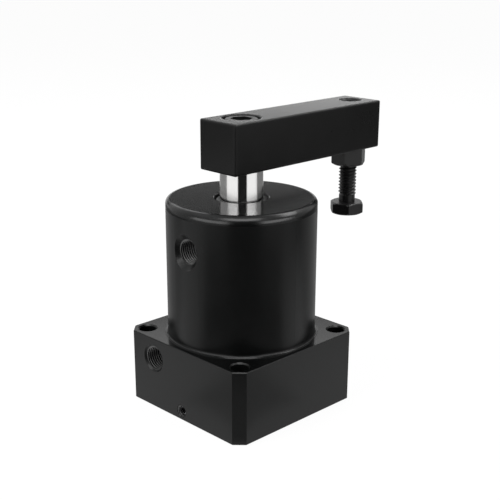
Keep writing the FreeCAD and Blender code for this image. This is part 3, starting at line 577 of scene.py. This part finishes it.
def seen_by(tree, path):
    """One where a ray comes from the camera or mirrors or passes through a surface."""
    seen = path.outputs["Is Camera Ray"]
    for ray in ("Is Glossy Ray", "Is Transmission Ray"):
        most = tree.nodes.new("ShaderNodeMath")
        most.operation = "MAXIMUM"
        tree.links.new(seen, most.inputs[0])
        tree.links.new(path.outputs[ray], most.inputs[1])
        seen = most.outputs["Value"]
    return seen


def make_floor():
    """A white floor that takes a soft shadow."""
    bm = bmesh.new()
    bmesh.ops.create_circle(bm, cap_ends=True, segments=64, radius=FLOOR_RADIUS)
    material = blank_material("floor_white")
    tree = material.node_tree
    out = tree.nodes.new("ShaderNodeOutputMaterial")
    paint = tree.nodes.new("ShaderNodeBsdfDiffuse")
    paint.inputs["Color"].default_value = (FLOOR_WHITE, FLOOR_WHITE, FLOOR_WHITE, 1)
    glow = tree.nodes.new("ShaderNodeEmission")
    glow.inputs["Strength"].default_value = FLOOR_GLOW
    path = tree.nodes.new("ShaderNodeLightPath")
    share = tree.nodes.new("ShaderNodeMath")
    share.operation = "MULTIPLY"
    share.inputs[1].default_value = FLOOR_GLOW_SHARE
    mix = tree.nodes.new("ShaderNodeMixShader")
    tree.links.new(seen_by(tree, path), share.inputs[0])
    tree.links.new(share.outputs["Value"], mix.inputs["Fac"])
    tree.links.new(paint.outputs["BSDF"], mix.inputs[1])
    tree.links.new(glow.outputs["Emission"], mix.inputs[2])
    # From below the floor is clear, so the underside of the object can be seen.
    side = tree.nodes.new("ShaderNodeNewGeometry")
    clear = tree.nodes.new("ShaderNodeBsdfTransparent")
    choose = tree.nodes.new("ShaderNodeMixShader")
    tree.links.new(side.outputs["Backfacing"], choose.inputs["Fac"])
    tree.links.new(mix.outputs["Shader"], choose.inputs[1])
    tree.links.new(clear.outputs["BSDF"], choose.inputs[2])
    tree.links.new(choose.outputs["Shader"], out.inputs["Surface"])
    floor = new_object("floor", bm, material)
    floor.location.z = -FLOOR_DROP


def make_world():
    """White to the camera and in reflections, a soft level of light elsewhere."""
    world = bpy.data.worlds.new("studio")
    bpy.context.scene.world = world
    world.use_nodes = True
    tree = world.node_tree
    backdrop = tree.nodes["Background"]
    backdrop.inputs["Color"].default_value = (1, 1, 1, 1)
    path = tree.nodes.new("ShaderNodeLightPath")
    level = tree.nodes.new("ShaderNodeMapRange")
    level.inputs["To Min"].default_value = WORLD_LIGHT
    level.inputs["To Max"].default_value = 1.0
    tree.links.new(seen_by(tree, path), level.inputs["Value"])
    tree.links.new(level.outputs["Result"], backdrop.inputs["Strength"])


def aim(name, data, turn, rise, distance):
    """Places a lamp or camera so that it looks at the object; its turn is counted from the photograph's."""
    angle, lift = math.radians(VIEW_AZIMUTH + turn), math.radians(rise)
    back = Vector((math.sin(angle) * math.cos(lift), -math.cos(angle) * math.cos(lift), math.sin(lift)))
    thing = bpy.data.objects.new(name, data)
    bpy.context.scene.collection.objects.link(thing)
    thing.location = VIEW_TARGET + back * distance
    thing.rotation_mode = "QUATERNION"
    thing.rotation_quaternion = (-back).to_track_quat("-Z", "Y")
    return thing


def add_lamp(name, turn, rise, distance, size, power):
    """A soft lamp, not seen itself."""
    data = bpy.data.lights.new(name, "AREA")
    data.shape = "RECTANGLE"
    data.size, data.size_y = size
    data.energy = power
    lamp = aim(name, data, turn, rise, distance)
    lamp.visible_camera = False
    lamp.visible_glossy = False


def make_camera():
    """The photograph's viewpoint."""
    data = bpy.data.cameras.new("camera")
    data.sensor_width = SENSOR_WIDTH
    data.lens = FOCAL_PIXELS / FRAME_PIXELS * SENSOR_WIDTH
    data.shift_x = 0.5 - AXIS_PIXEL[0] / FRAME_PIXELS
    data.shift_y = AXIS_PIXEL[1] / FRAME_PIXELS - 0.5
    data.clip_start, data.clip_end = 0.01, 20
    bpy.context.scene.camera = aim("camera", data, 0, VIEW_ELEVATION, VIEW_DISTANCE)


make_camera()
finish_nodes()
make_contact_bolt()
make_lock_nut()
make_foot_collar()
for row in PORT_THREADS:
    make_port_thread(*row)
make_screw_knurl()
make_wiper()
brush_round(ROD_CHROME, amount=0.9, roughness=0.14, lift=0.09)
smooth_faces(BODY_BLACK, ((BASE_TOP, 0.1 * MM, 0.16), (BASE_TOP + COLLAR_RISE, 0.05 * MM, 0.16),
                          (BARREL_TOP, 0.1 * MM, 0.16), (BARREL_TOP - 2.5 * MM, 2.3 * MM, 0.22)))
smooth_faces(ARM_BLACK, ((ARM_TOP, 0.1 * MM, 0.20),))
soften_rim(BODY_BLACK, low=BARREL_TOP - 5 * MM, high=BARREL_TOP, drop=1.9 * MM)
round_edges(ARM_BLACK, radius=1.5 * MM)

make_floor()
make_world()
make_cards()
for row in LAMPS:
    add_lamp(*row)

bpy.context.scene.view_settings.view_transform = "Standard"
